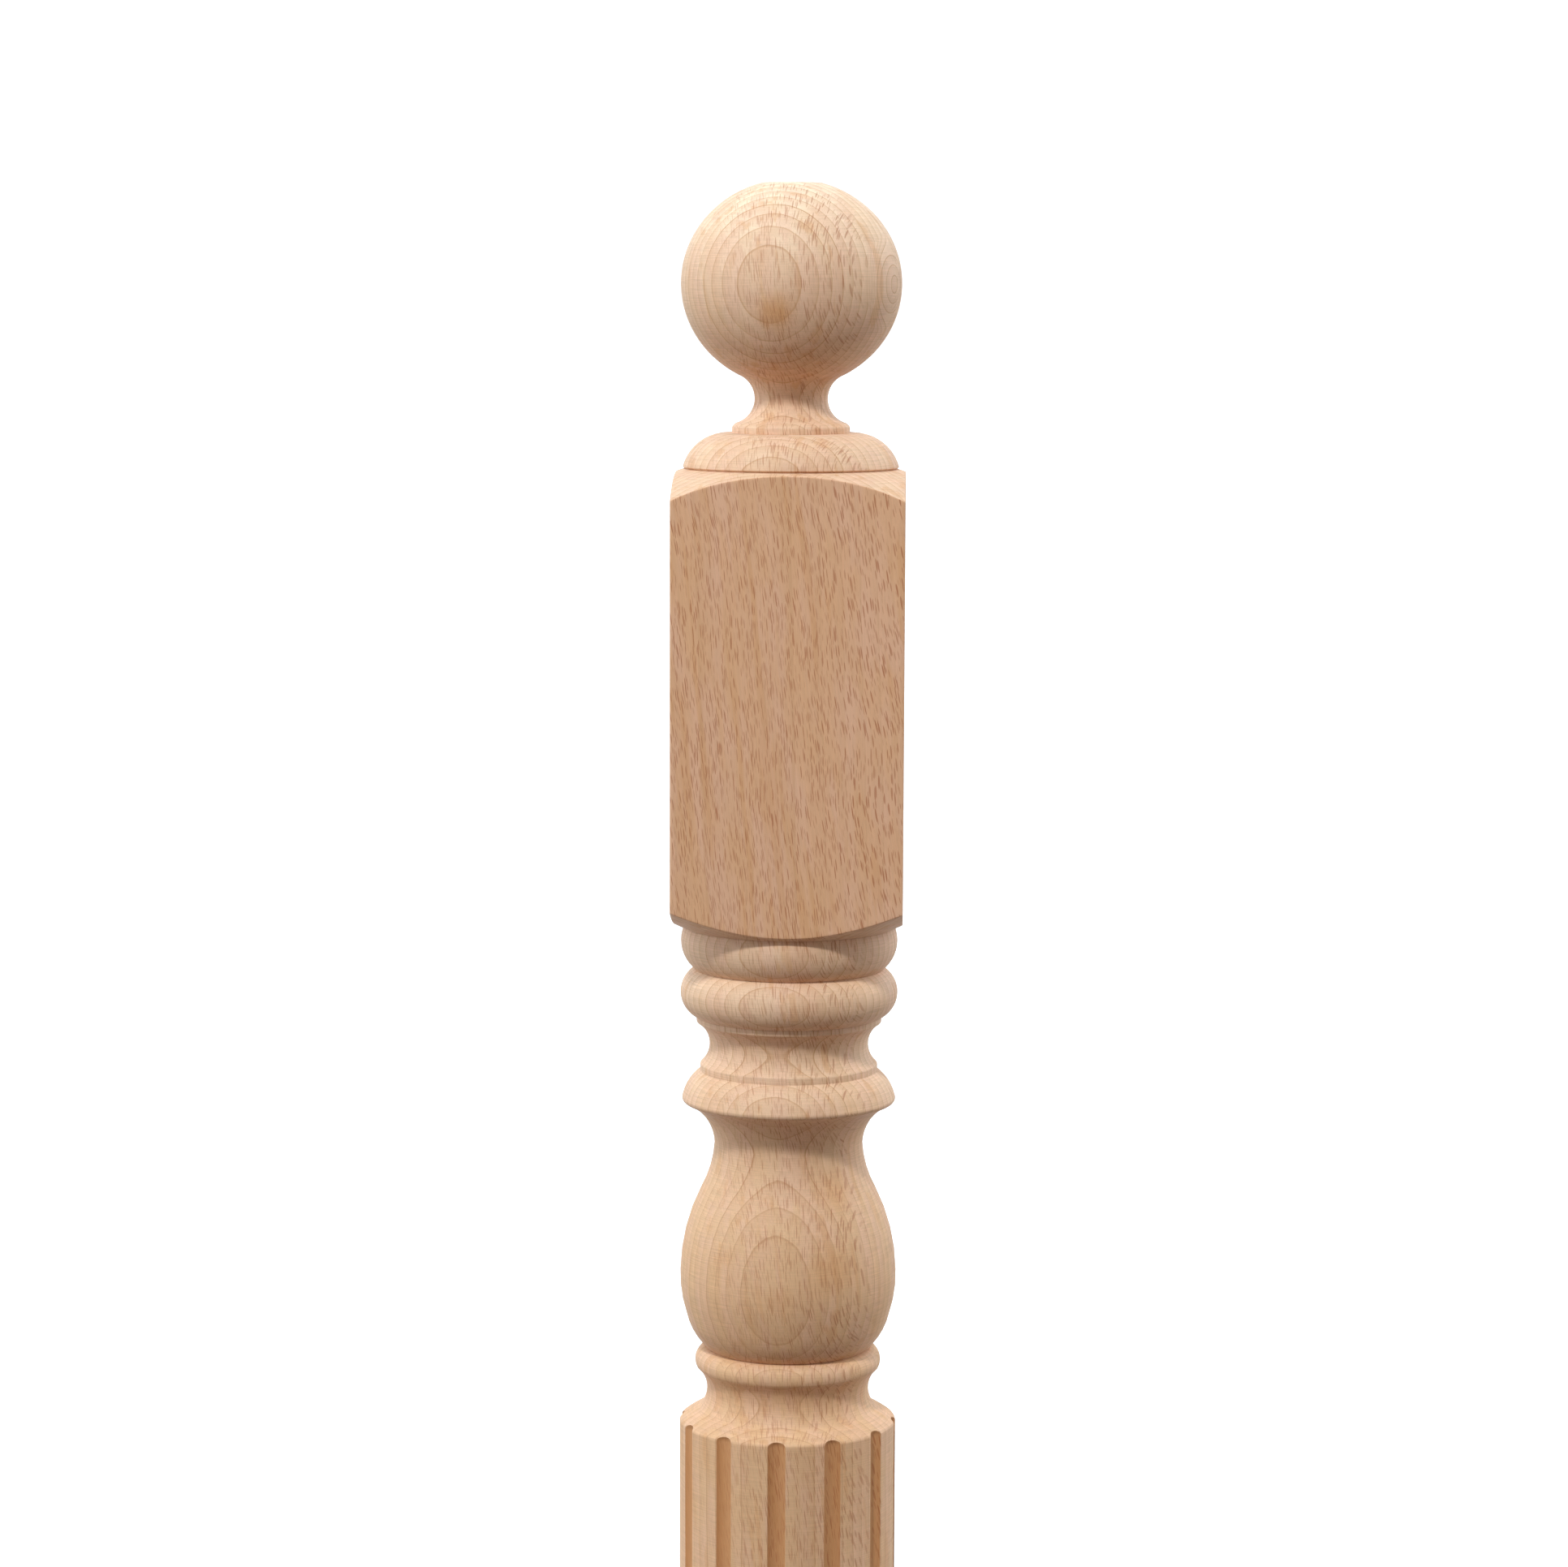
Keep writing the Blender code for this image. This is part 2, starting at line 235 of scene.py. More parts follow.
class BlankSizes(bpy.types.PropertyGroup):
    """The square blank and its blocks."""

    width: length("Width", 90.0, "Side of the square blank")
    corner: length("Arris rounding", 0.6, "Rounding of the long arrises")
    ease: length("Edge rounding", 0.35, "Rounding of turned edges and of a block's arches")
    lathe_radius: length("Lathe cut", 65.64, "Radius that the lathe would leave round the blocks")
    upper_length: length("Upper block", 156.5, "Length of the block that takes the handrail")
    neck_cut: length("Shoulder neck cut", 3.2, "Depth of the cut at the foot of the lower shoulder")
    top_drop: length("Top shoulder drop", 12.2, "Fall of a block's top shoulder")
    top_bulge: length("Top shoulder bulge", 1.2, "Rounding of a block's top shoulder")
    lower_drop: length("Lower shoulder drop", 12.3, "Fall of the lower shoulder")
    lower_bulge: length("Lower shoulder bulge", 0.3, "Rounding of the lower shoulder")


class FinialSizes(bpy.types.PropertyGroup):
    """The ball, its neck and the cushion mould."""

    ball_cut: length("Ball cut", 1.9, "Depth of the cut at the ball's widest")
    ball_half_height: length("Ball half height", 40.4, "Half the height of the whole ball")
    ball_flat: length("Flat on top", 11.5, "Radius of the flat on top of the ball")
    ball_foot: length("Ball foot", 20.8, "Radius where the ball meets the neck")
    neck_height: length("Neck height", 18.8, "Height of the hollow neck")
    neck_hollow: length("Neck hollow", 6.9, "Depth of the neck's hollow")
    collar_radius: length("Collar radius", 23.1, "Radius of the collar under the neck")
    collar_ease: length("Collar easing", 1.4, "Easing of the collar's upper edge")
    collar_height: length("Collar height", 2.4, "Height of the collar")
    cushion_cut: length("Cushion cut", 2.6, "Depth of the cut at the cushion mould")
    cushion_height: length("Cushion height", 13.2, "Height of the cushion mould")
    cushion_bulge: length("Cushion bulge", 4.3, "Rounding of the cushion mould")
    quirk_depth: length("Quirk depth", 0.9, "Depth of the groove under the cushion")
    quirk_height: length("Quirk height", 0.7, "Height of the groove under the cushion")


class RingSizes(bpy.types.PropertyGroup):
    """The twin rings, the scotia and the broad ring."""

    cut: length("Ring cut", 1.9, "Depth of the cut at the second ring")
    crease_cut: length("Crease cut", 7.6, "Depth of the crease between the rings")
    upper_height: length("Upper ring height", 16.8, "Height of the upper ring")
    upper_bulge: length("Upper ring bulge", 3.0, "Rounding of the upper ring")
    second_height: length("Second ring height", 19.2, "Height of the second ring")
    foot_cut: length("Ring foot cut", 8.2, "Depth of the cut under the second ring")
    fillet_cut: length("Fillet cut", 8.3, "Depth of the cut at the fillet")
    fillet_height: length("Fillet height", 2.2, "Height of the fillet")
    scotia_height: length("Scotia height", 16.0, "Height of the hollow under the rings")
    scotia_hollow: length("Scotia hollow", 3.9, "Depth of the hollow under the rings")
    lip_cut: length("Lip cut", 9.8, "Depth of the cut at the lip")
    lip_ease: length("Lip easing", 0.9, "Easing of the lip's upper edge")
    lip_height: length("Lip height", 2.6, "Height of the lip")
    broad_cut: length("Broad ring cut", 2.7, "Depth of the cut at the broad ring")
    broad_height: length("Broad ring height", 10.4, "Height of the broad ring")
    broad_bulge: length("Broad ring bulge", 1.2, "Rounding of the broad ring")
    edge_height: length("Broad ring edge", 2.5, "Height of the broad ring's lower edge")
    edge_depth: length("Edge depth", 1.3, "How far the lower edge turns in")
    edge_bulge: length("Edge bulge", 0.65, "Rounding of the lower edge")


class VaseSizes(bpy.types.PropertyGroup):
    """The vase and the hollow over it."""

    throat_cut: length("Throat cut", 15.5, "Depth of the cut at the throat")
    throat_height: length("Throat height", 16.4, "Height of the hollow over the throat")
    throat_hollow: length("Throat hollow", 2.9, "Depth of the hollow over the throat")
    cut: length("Vase cut", 1.9, "Depth of the cut at the vase's widest")
    neck_height: length("Vase neck height", 18.8, "Height of the vase's neck")
    neck_flare: length("Vase neck flare", 5.4, "How far the vase's neck opens")
    neck_hollow: length("Vase neck hollow", 1.1, "Hollow of the vase's neck")
    swell_height: length("Swell height", 32.9, "Height of the vase's swell")
    swell_bulge: length("Swell bulge", 1.9, "Rounding of the vase's swell")
    belly_height: length("Belly height", 17.5, "Height of the vase's belly")
    belly_turn: length("Belly turn", 2.5, "How far the belly turns in")
    belly_bulge: length("Belly bulge", 0.8, "Rounding of the belly")
    foot_height: length("Vase foot height", 13.8, "Height of the vase's foot")
    foot_cut: length("Vase foot cut", 12.6, "Depth of the cut under the vase")
    foot_bulge: length("Vase foot bulge", 1.3, "Rounding of the vase's foot")


class ShaftSizes(bpy.types.PropertyGroup):
    """The bead, the cove and the fluted shaft."""

    bead_height: length("Bead height", 8.0, "Height of the bead under the vase")
    bead_foot_cut: length("Bead foot cut", 8.5, "Depth of the cut under the bead")
    bead_bulge: length("Bead bulge", 2.3, "Rounding of the bead")
    cove_height: length("Cove height", 17.0, "Height of the cove")
    cove_hollow: length("Cove hollow", 3.5, "Depth of the cove")
    cove_foot_cut: length("Cove foot cut", 9.8, "Depth of the cut at the foot of the cove")
    thumb_height: length("Slope height", 4.9, "Height of the slope over the flutes")
    thumb_bulge: length("Slope bulge", 0.2, "Rounding of the slope over the flutes")
    arris_ease: length("Shaft arris rounding", 0.9, "Rounding of the shaft's two end arrises")
    run: length("Shaft length", 424.0, "Length of the fluted shaft")
    cut: length("Shaft cut", 1.7, "Depth of the cut at the shaft")
    flutes: IntProperty(name="Flutes", description="Number of flutes", default=12, min=3)
    bit_radius: length("Flute bit", 4.0, "Radius of the round-nosed bit that cuts a flute")
    flute_depth: length("Flute depth", 2.35, "Depth of a flute")
    flute_start: length("Flute start", 1.3, "From the shaft's end to the bit's last stop")
    flute_ease: length("Flute edge rounding", 0.25, "Width over which a flute's edge is rounded")
    phase: turn_of("First flute", -4.0, "Turn of the first flute from the front")


class BaseSizes(bpy.types.PropertyGroup):
    """The torus on the base block."""

    height: length("Torus height", 18.0, "Height of the torus")
    foot_cut: length("Torus foot cut", 3.5, "Depth of the cut under the torus")
    top_cut: length("Torus top cut", 7.5, "Depth of the cut over the torus")
    bulge: length("Torus bulge", 3.6, "Rounding of the torus")
    fillet_height: length("Torus fillet", 2.0, "Height of the fillet over the torus")


class BeechLook(bpy.types.PropertyGroup):
    """The colours of bare beech and the size of its figure."""

    pale: tint("Pale wood", (0.74, 0.48, 0.31), "Early wood on the ball")
    # Painted light: paler colour towards the top of the ball, standing in for light from above
    painted_top_light: tint("Painted top light", (0.86, 0.65, 0.46), "Painted light, palest at the top of the ball")
    ruddy: tint("Ruddy wood", (0.69, 0.41, 0.225), "Early wood lower down")
    honey: tint("Honey wood", (0.66, 0.36, 0.18), "Warmer wood in wide patches")
    late: tint("Late wood", (0.52, 0.27, 0.13), "The dark end of a growth ring")
    blush: tint("Blush", (0.73, 0.43, 0.30), "Pinker wood in soft patches")
    fleck: tint("Flecks", (0.33, 0.085, 0.024), "Rays seen end on")
    streak: tint("Streaks", (0.60, 0.29, 0.12), "Warm streaks along the grain")
    # The inside of each flute is coloured darker and browner
    face: tint("Planed face", (0.69, 0.38, 0.215), "Wood of the square block's flat faces")
    # Painted shade: a dark line laid along the hollow creases
    flute: tint("Flute", (0.55, 0.25, 0.095), "Darker, browner wood inside the flutes")
    crease: tint("Crease", (0.20, 0.075, 0.04), "Painted shade along each hollow corner")
    ball_drop: length("Ball drop", 39.0, "From the top of the post to the middle of the ball")
    pith_right: length("Pith to the right", -19.9, "From the axis to the tree's centre, at the ball")
    pith_front: length("Pith to the front", 108.2, "From the axis to the tree's centre")
    pith_lean: share("Lean of the pith", 0.0275, "How far the tree's centre runs right, going down")
    ring_width: length("Ring width", 3.84, "Width of one year's growth at the ball")
    ring_spread: share("Ring spread", 0.0007, "How much wider the years are, going down")
    first_ring: length("First ring", 70.0, "From the tree's centre to one ring's end, at the ball")
    ring_drift: share("Ring drift", -0.0015, "How much further out that ring is, going down")
    ray_radius: length("Ray radius", 80.0, "How far out in the tree a ray has just that room")
    ray_width: length("Ray width", 0.7, "Room for one ray, round the tree")
    ray_length: length("Ray length", 9.0, "Room for one ray, along the grain")
    lean: share("Lean of the grain", 0.1, "How far the grain runs to the left as it rises")
    swirl: point("Swirl", (42.0, -16.0, 1161.0), "Middle of a swirl in the rings at the ball's side")
    swirl_reach: length("Swirl reach", 20.0, "How far the swirl bends the rings")
    roughness: share("Roughness", 0.62, "Roughness of the sanded surface")


class StudioLook(bpy.types.PropertyGroup):
    """The camera, the floor and the light."""

    distance: length("Camera distance", 1668.0, "From the camera to the post's axis, on the flat")
    height: length("Camera height", 1164.0, "Height of the lens")
    side_step: length("Side step", -2.28, "From the camera's line to the post's axis")
    focal: share("Focal length", 97.64, "For a frame 36 mm wide", "CAMERA")
    turn: turn_of("Turn", 1.7, "Direction of the camera round the post")
    tilt: turn_of("Tilt", 6.807, "How far the camera looks down")
    roll: turn_of("Roll", 0.2, "Lean of the picture")
    floor: tint("Floor", (0.92, 0.92, 0.92), "Colour of the floor")
    backdrop: tint("Backdrop colour", (1.0, 1.0, 1.0), "The backdrop, as the camera sees it")
    cool: tint("Cool light", (0.78, 0.91, 1.0), "Light of the walls and the ceiling")
    neutral: tint("White light", (0.97, 0.97, 0.97), "Soft light from the camera's side")
    warm: tint("Warm light", (1.0, 0.80, 0.67), "Light from below")
    lamp: tint("Softbox colour", (0.86, 0.95, 1.0), "Light of the softbox")
    fill: share("Fill", 0.24, "Soft light from all round, above the floor")
    back: share("Backdrop", 1.1, "Soft light from the white wall behind the post")
    left: share("Left wall", 2.3, "Soft light from the left")
    right: share("Right wall", 3.3, "Soft light from the right and behind")
    ceiling: share("Ceiling", 0.45, "Soft light from above")
    ground: share("Ground", 0.2, "Warm light thrown back from below")
    key: share("Softbox", 60.0, "Power of the softbox above and in front", "POWER")
    key_size: length("Softbox size", 300.0, "Side of the softbox")
    key_place: point("Softbox place", (-420.0, -1900.0, 3120.0), "Middle of the softbox")
    side: share("Side light", 5.0, "Power of the light to the left", "POWER")
    side_size: length("Side light size", 600.0, "Side of the light to the left")
    side_place: point("Side light place", (-1500.0, -500.0, 1350.0), "Middle of the side light")
    side_colour: tint("Side light colour", (0.66, 0.87, 1.0), "Light of the side light")


GROUPS = {
    "newel_blank": BlankSizes,
    "newel_finial": FinialSizes,
    "newel_rings": RingSizes,
    "newel_vase": VaseSizes,
    "newel_shaft": ShaftSizes,
    "newel_base": BaseSizes,
    "newel_beech": BeechLook,
    "newel_studio": StudioLook,
}


def arc_centre(r0, z0, r1, z1, bulge):
    """Centre and radius of the circle through two points that stands bulge proud of its chord."""
    chord = math.hypot(r1 - r0, z1 - z0)
    curve = (chord * chord / 4.0 + bulge * bulge) / (2.0 * bulge)
    out_r, out_z = (z0 - z1) / chord, (r1 - r0) / chord
    centre_r = (r0 + r1) / 2.0 + out_r * (bulge - curve)
    centre_z = (z0 + z1) / 2.0 + out_z * (bulge - curve)
    return centre_r, centre_z, abs(curve)


class Profile:
    """The half outline of the post, drawn from a height down its outer side."""

    def __init__(self, radius, height):
        self.points = [(radius, height)]

    def line(self, radius, drop):
        """A straight run to a radius, drop lower than the last point."""
        self.points.append((radius, self.points[-1][1] - drop))

    def arc(self, radius, drop, bulge):
        """A circular run that stands bulge proud of its chord, or lies that far inside it."""
        r0, z0 = self.points[-1]
        centre_r, centre_z, curve = arc_centre(r0, z0, radius, z0 - drop, bulge)
        start = math.atan2(z0 - centre_z, r0 - centre_r)
        end = math.atan2(z0 - drop - centre_z, radius - centre_r)
        sweep = math.remainder(end - start, math.tau)
        steps = max(2, math.ceil(abs(sweep) / ARC_STEP))
        for step in range(1, steps):
            angle = start + sweep * step / steps
            r = centre_r + curve * math.cos(angle)
            self.points.append((r, centre_z + curve * math.sin(angle)))
        self.points.append((radius, z0 - drop))

    def ball(self, radius, half_height, foot_radius):
        """An oval ball from the last radius round to its foot radius."""
        r0, z0 = self.points[-1]
        start = math.acos(r0 / radius)
        end = -math.acos(foot_radius / radius)
        centre_z = z0 - half_height * math.sin(start)
        steps = math.ceil((start - end) / BALL_STEP)
        for step in range(1, steps + 1):
            angle = start + (end - start) * step / steps
            self.points.append((radius * math.cos(angle), centre_z + half_height * math.sin(angle)))

    def bends(self):
        """The turn of the outline at each inner point, more than zero where it is hollow."""
        for index in range(1, len(self.points) - 1):
            before = Vector(self.points[index]) - Vector(self.points[index - 1])
            after = Vector(self.points[index + 1]) - Vector(self.points[index])
            yield index, before, after, -before.angle_signed(after)

    def creases(self):
        """The heights of the sharp hollow corners."""
        return [self.points[index][1] for index, before, after, bend in self.bends()
                if bend > CORNER_ANGLE]

    def eased(self, amount):
        """The points, with each sharp outer corner rounded."""
        points = [self.points[0]]
        for index, before, after, bend in self.bends():
            corner = Vector(self.points[index])
            if bend > -CORNER_ANGLE:
                points.append(corner)
                continue
            reach = min(amount, EDGE_SHARE * before.length, EDGE_SHARE * after.length)
            first, last = corner - before.normalized() * reach, corner + after.normalized() * reach
            points += [first, bent(first, corner, last, 0.5), last]
        return points + [self.points[-1]]


def draw_finial(outline, finial, half):
    """The ball, its neck and collar, and the cushion mould."""
    for part in FLAT_SHARES[1:]:
        outline.line(finial.ball_flat * part, 0.0)
    outline.ball(half - finial.ball_cut, finial.ball_half_height, finial.ball_foot)
    outline.arc(finial.collar_radius - finial.collar_ease, finial.neck_height, -finial.neck_hollow)
    outline.line(finial.collar_radius, finial.collar_ease)
    outline.line(finial.collar_radius, finial.collar_height)
    cushion_radius = half - finial.cushion_cut
    outline.arc(cushion_radius, finial.cushion_height, finial.cushion_bulge)
    outline.line(cushion_radius - finial.quirk_depth, finial.quirk_height)


def draw_rings(outline, rings, vase, half):
    """The twin rings, the scotia and the broad ring, down to the throat of the vase."""
    crease, foot = half - rings.crease_cut, half - rings.foot_cut
    outline.arc(crease, rings.upper_height, rings.upper_bulge)
    outline.arc(foot, rings.second_height, half - rings.cut - (crease + foot) / 2.0)
    outline.line(half - rings.fillet_cut, rings.fillet_height)
    lip = half - rings.lip_cut
    outline.arc(lip - rings.lip_ease, rings.scotia_height, -rings.scotia_hollow)
    outline.line(lip, rings.lip_ease)
    outline.line(lip, rings.lip_height)
    broad = half - rings.broad_cut
    outline.arc(broad, rings.broad_height, rings.broad_bulge)
    outline.arc(broad - rings.edge_depth, rings.edge_height, rings.edge_bulge)
    outline.arc(half - vase.throat_cut, vase.throat_height, -vase.throat_hollow)


def draw_vase(outline, vase, shaft, half):
    """The vase, the bead and the cove, down to the slope over the flutes."""
    throat, widest = half - vase.throat_cut, half - vase.cut
    outline.arc(throat + vase.neck_flare, vase.neck_height, -vase.neck_hollow)
    outline.arc(widest, vase.swell_height, vase.swell_bulge)
    outline.arc(widest - vase.belly_turn, vase.belly_height, vase.belly_bulge)
    outline.arc(half - vase.foot_cut, vase.foot_height, vase.foot_bulge)
    outline.arc(half - shaft.bead_foot_cut, shaft.bead_height, shaft.bead_bulge)
    outline.arc(half - shaft.cove_foot_cut, shaft.cove_height, -shaft.cove_hollow)


def draw_base(outline, base, shaft, half):
    """The cove under the shaft, the fillet and the torus."""
    outline.arc(half - base.top_cut, shaft.cove_height, -shaft.cove_hollow)
    outline.line(half - base.top_cut, base.fillet_height)
    outline.arc(half - base.foot_cut, base.height, base.bulge)


def square_reach(turn, half, corner):
    """How far the eased square reaches from its centre in one direction."""
    around = abs(math.remainder(turn, math.pi / 2.0))
    if math.tan(around) * half <= half - corner:
        return half / math.cos(around)
    inner = half - corner
    along = inner * (math.cos(around) + math.sin(around))
    return along + math.sqrt(along * along - 2.0 * inner * inner + corner * corner)


def column_turns(shaft, blank, shares):
    """The directions of the mesh's columns: close by each flute's edges and each arris."""
    half = blank.width / 2.0
    radius = half - shaft.cut
    orbit = radius + shaft.bit_radius - shaft.flute_depth
    edge = math.acos((orbit ** 2 + radius ** 2 - shaft.bit_radius ** 2) / (2.0 * orbit * radius))
    pitch = math.tau / shaft.flutes
    land = pitch - 2.0 * edge * shares[-1]
    land_steps = math.ceil(land / LAND_STEP)
    turns = []
    for index in range(shaft.flutes):
        centre = shaft.phase + index * pitch
        turns += [centre + part * edge for part in shares]
        turns += [centre - part * edge for part in shares[1:]]
        turns += [centre + edge * shares[-1] + land * step / land_steps
                  for step in range(1, land_steps)]
    reach = math.atan2(half, half - blank.corner) - math.pi / 4.0
    for corner in range(4):
        turns += [(corner + 0.5) * math.pi / 2.0 + part * reach for part in CORNER_SHARES]
    return sorted({round(turn % math.tau, 7) for turn in turns})


class Turning:
    """The post's mesh, made as rows of points from the top down."""

    def __init__(self, coarse, fine):
        self.mesh = bmesh.new()
        self.cut = self.mesh.verts.layers.float.new("cut_depth")
        self.coarse = coarse
        self.fine = fine
        self.rows = []

    def row(self, place, fine=False):
        """One row; place gives the radius and height of the point in each direction."""
        points = {}
        for turn in self.fine if fine else self.coarse:
            radius, height, *cut = place(turn)
            spot = (radius * math.sin(turn), -radius * math.cos(turn), height)
            points[turn] = self.mesh.verts.new(spot)
            points[turn][self.cut] = cut[0] * PER_MM if cut else 0.0
        self.rows.append(points)

    def round_rows(self, points):
        """Rows that are true circles."""
        for radius, height in points:
            self.row(lambda turn: (radius, height))

    def close(self):
        """Joins the rows, and closes the top and the underside."""
        for upper, lower in zip(self.rows, self.rows[1:]):
            same = len(upper) == len(lower)
            turns = list(upper) if same else self.coarse
            for first, last in zip(turns, turns[1:] + turns[:1]):
                if same:
                    corners = [upper[first], upper[last], lower[last], lower[first]]
                else:
                    corners = between(upper, first, last) + between(lower, first, last)[::-1]
                self.mesh.faces.new(corners)
        self.mesh.faces.new(list(self.rows[0].values())[::-1])
        self.mesh.faces.new(list(self.rows[-1].values()))
        bmesh.ops.recalc_face_normals(self.mesh, faces=self.mesh.faces)


def between(row, first, last):
    """A row's points from one direction round to another."""
    if last > first:
        return [point for turn, point in row.items() if first <= turn <= last]
    tail = [point for turn, point in row.items() if turn >= first]
    return tail + [point for turn, point in row.items() if turn <= last]


def bent(first, corner, last, part):
    """A point of the curve that rounds a corner."""
    return first * (1 - part) ** 2 + corner * 2 * part * (1 - part) + last * part ** 2


class Shoulder:
    """One turned end of a square block, whose flat faces cut it in arches."""

    def __init__(self, blank, neck_radius, neck_height, drop, bulge, down):
        self.half = blank.width / 2.0
        self.corner = blank.corner
        self.ease = blank.ease
        self.neck_radius = neck_radius
        self.down = down
        lathe_height = neck_height - down * drop
        ends = (neck_radius, neck_height, blank.lathe_radius, lathe_height)
        if down < 0.0:
            ends = (blank.lathe_radius, lathe_height, neck_radius, neck_height)
        self.centre_r, self.centre_z, self.curve = arc_centre(*ends, bulge)

    def height(self, radius):
        """Height of the shoulder at a radius."""
        rise = math.sqrt(self.curve ** 2 - (radius - self.centre_r) ** 2)
        return self.centre_z + self.down * rise

    def slope_spot(self, turn, part):
        """A point part of the way from the neck to the flat face."""
        reach = square_reach(turn, self.half, self.corner) - self.ease
        radius = self.neck_radius + (reach - self.neck_radius) * part
        return radius, self.height(radius)

    def edge_spot(self, turn, part):
        """A point of the rounded edge between the shoulder and the flat face."""
        reach = square_reach(turn, self.half, self.corner)
        inner = Vector((reach - self.ease, self.height(reach - self.ease)))
        corner = Vector((reach, self.height(reach)))
        outer = corner - Vector((0.0, self.down * self.ease))
        return bent(inner, corner, outer, part)

    def face_spot(self, turn):
        """A point of the flat face close to the arch."""
        reach = square_reach(turn, self.half, self.corner)
        return reach, self.height(reach) - self.down * FACE_START * self.ease

    def add_rows(self, turning):
        """The shoulder's rows, from the top down."""
        rows = [(self.slope_spot, part) for part in SHOULDER_SHARES]
        rows += [(self.edge_spot, part) for part in EASE_SHARES]
        for spot, part in rows if self.down > 0.0 else rows[::-1]:
            turning.row(lambda turn: spot(turn, part))


def add_flute_rows(turning, shaft, blank, top):
    """The slope over the shaft, the shaft with its flutes, and the slope under it."""
    half = blank.width / 2.0
    radius = half - shaft.cut
    orbit = radius + shaft.bit_radius - shaft.flute_depth
    pitch = math.tau / shaft.flutes
    middle = top - shaft.run / 2.0
    last_stop = shaft.run / 2.0 - shaft.flute_start
    foot = half - shaft.cove_foot_cut
    slope = arc_centre(foot, shaft.thumb_height, radius, 0.0, shaft.thumb_bulge)
    across = Vector((foot - radius, shaft.thumb_height))

    def slope_spot(back):
        r = radius + across.normalized().x * back
        return Vector((r, slope[1] + math.sqrt(slope[2] ** 2 - (r - slope[0]) ** 2)))

    def cut(turn, r, z):
        away = math.remainder(turn - shaft.phase, pitch)
        past = max(0.0, abs(z - middle) - last_stop)
        room = shaft.bit_radius ** 2 - past ** 2 - (orbit * math.sin(away)) ** 2
        if room <= 0.0:
            return r, z
        floor = orbit * math.cos(away) - math.sqrt(room)
        blend = max(shaft.flute_ease - abs(r - floor), 0.0) / shaft.flute_ease
        left = min(r, floor) - blend * blend * shaft.flute_ease / 4.0
        return left, z, r - left

    ease = shaft.arris_ease
    spots = [slope_spot(step * MM) for step in SLOPE_STEPS]
    first, last = slope_spot(ease), Vector((radius, -ease))
    spots += [bent(first, Vector((radius, 0.0)), last, part) for part in ARRIS_SHARES]
    spots += [Vector((radius, -step * MM)) for step in SHAFT_STEPS]
    for r, z in spots:
        turning.row(lambda turn: cut(turn, r, top + z), fine=True)
    for r, z in spots[::-1]:
        turning.row(lambda turn: cut(turn, r, top - shaft.run - z), fine=True)


def turn_post(scene):
    """The post's mesh, and the heights of its creases."""
    blank, finial, rings = scene.newel_blank, scene.newel_finial, scene.newel_rings
    vase, shaft, base = scene.newel_vase, scene.newel_shaft, scene.newel_base
    half = blank.width / 2.0
    turning = Turning(column_turns(shaft, blank, COARSE_SHARES),
                      column_turns(shaft, blank, FINE_SHARES))
    creases = []

    def add_round(outline):
        turning.round_rows(outline.eased(blank.ease))
        creases.extend(outline.creases())
        return outline.points[-1]

    outline = Profile(finial.ball_flat * FLAT_SHARES[0], CAD_BOX[1].z)
    draw_finial(outline, finial, half)
    r, z = add_round(outline)
    creases.append(z)
    upper = Shoulder(blank, r, z, blank.top_drop, blank.top_bulge, 1.0)
    upper.add_rows(turning)
    r = half - blank.neck_cut
    z -= blank.top_drop + blank.upper_length + blank.lower_drop
    lower = Shoulder(blank, r, z, blank.lower_drop, blank.lower_bulge, -1.0)
    add_face_rows(turning, upper.face_spot, lower.face_spot)
    lower.add_rows(turning)
    outline = Profile(r, z)
    creases.append(z)
    draw_rings(outline, rings, vase, half)
    draw_vase(outline, vase, shaft, half)
    r, z = add_round(outline)
    add_flute_rows(turning, shaft, blank, z - shaft.thumb_height)
    z -= shaft.thumb_height * 2.0 + shaft.run
    outline = Profile(r, z)
    draw_base(outline, base, shaft, half)
    r, z = add_round(outline)
    creases.append(z)
    plinth = Shoulder(blank, r, z, blank.top_drop, blank.top_bulge, 1.0)
    plinth.add_rows(turning)

    def foot_spot(turn):
        return square_reach(turn, half, blank.corner) - blank.ease * FOOT_SHARE, 0.0

    def above_foot(turn):
        return square_reach(turn, half, blank.corner), blank.ease * FOOT_SHARE

    add_face_rows(turning, plinth.face_spot, above_foot)
    turning.row(foot_spot)
    turning.close()
    return turning.mesh, creases


def add_face_rows(turning, top_spot, low_spot):
    """The rows of a block's flat faces, close to each end and in the middle."""
    for part in FACE_SHARES:
        def spot(turn):
            reach, top = top_spot(turn)
            return reach, top + (low_spot(turn)[1] - top) * part
        turning.row(spot)


class Wire:
    """A shader socket on which plain arithmetic adds Math nodes."""

    def __init__(self, wiring, socket):
        self.wiring = wiring
        self.socket = socket

    def maths(self, operation, *values):
        """A Math node."""
        return self.wiring.make("ShaderNodeMath", {"operation": operation}, dict(enumerate(values)))

    def __add__(self, other):
        return self.maths("ADD", self, other)

    def __radd__(self, other):
        return self.maths("ADD", other, self)

    def __sub__(self, other):
        return self.maths("SUBTRACT", self, other)

    def __rsub__(self, other):
        return self.maths("SUBTRACT", other, self)

    def __mul__(self, other):
        return self.maths("MULTIPLY", self, other)

    def __rmul__(self, other):
        return self.maths("MULTIPLY", other, self)

    def __truediv__(self, other):
        return self.maths("DIVIDE", self, other)

    def __pow__(self, other):
        return self.maths("POWER", self, other)

    def __abs__(self):
        return self.maths("ABSOLUTE", self)


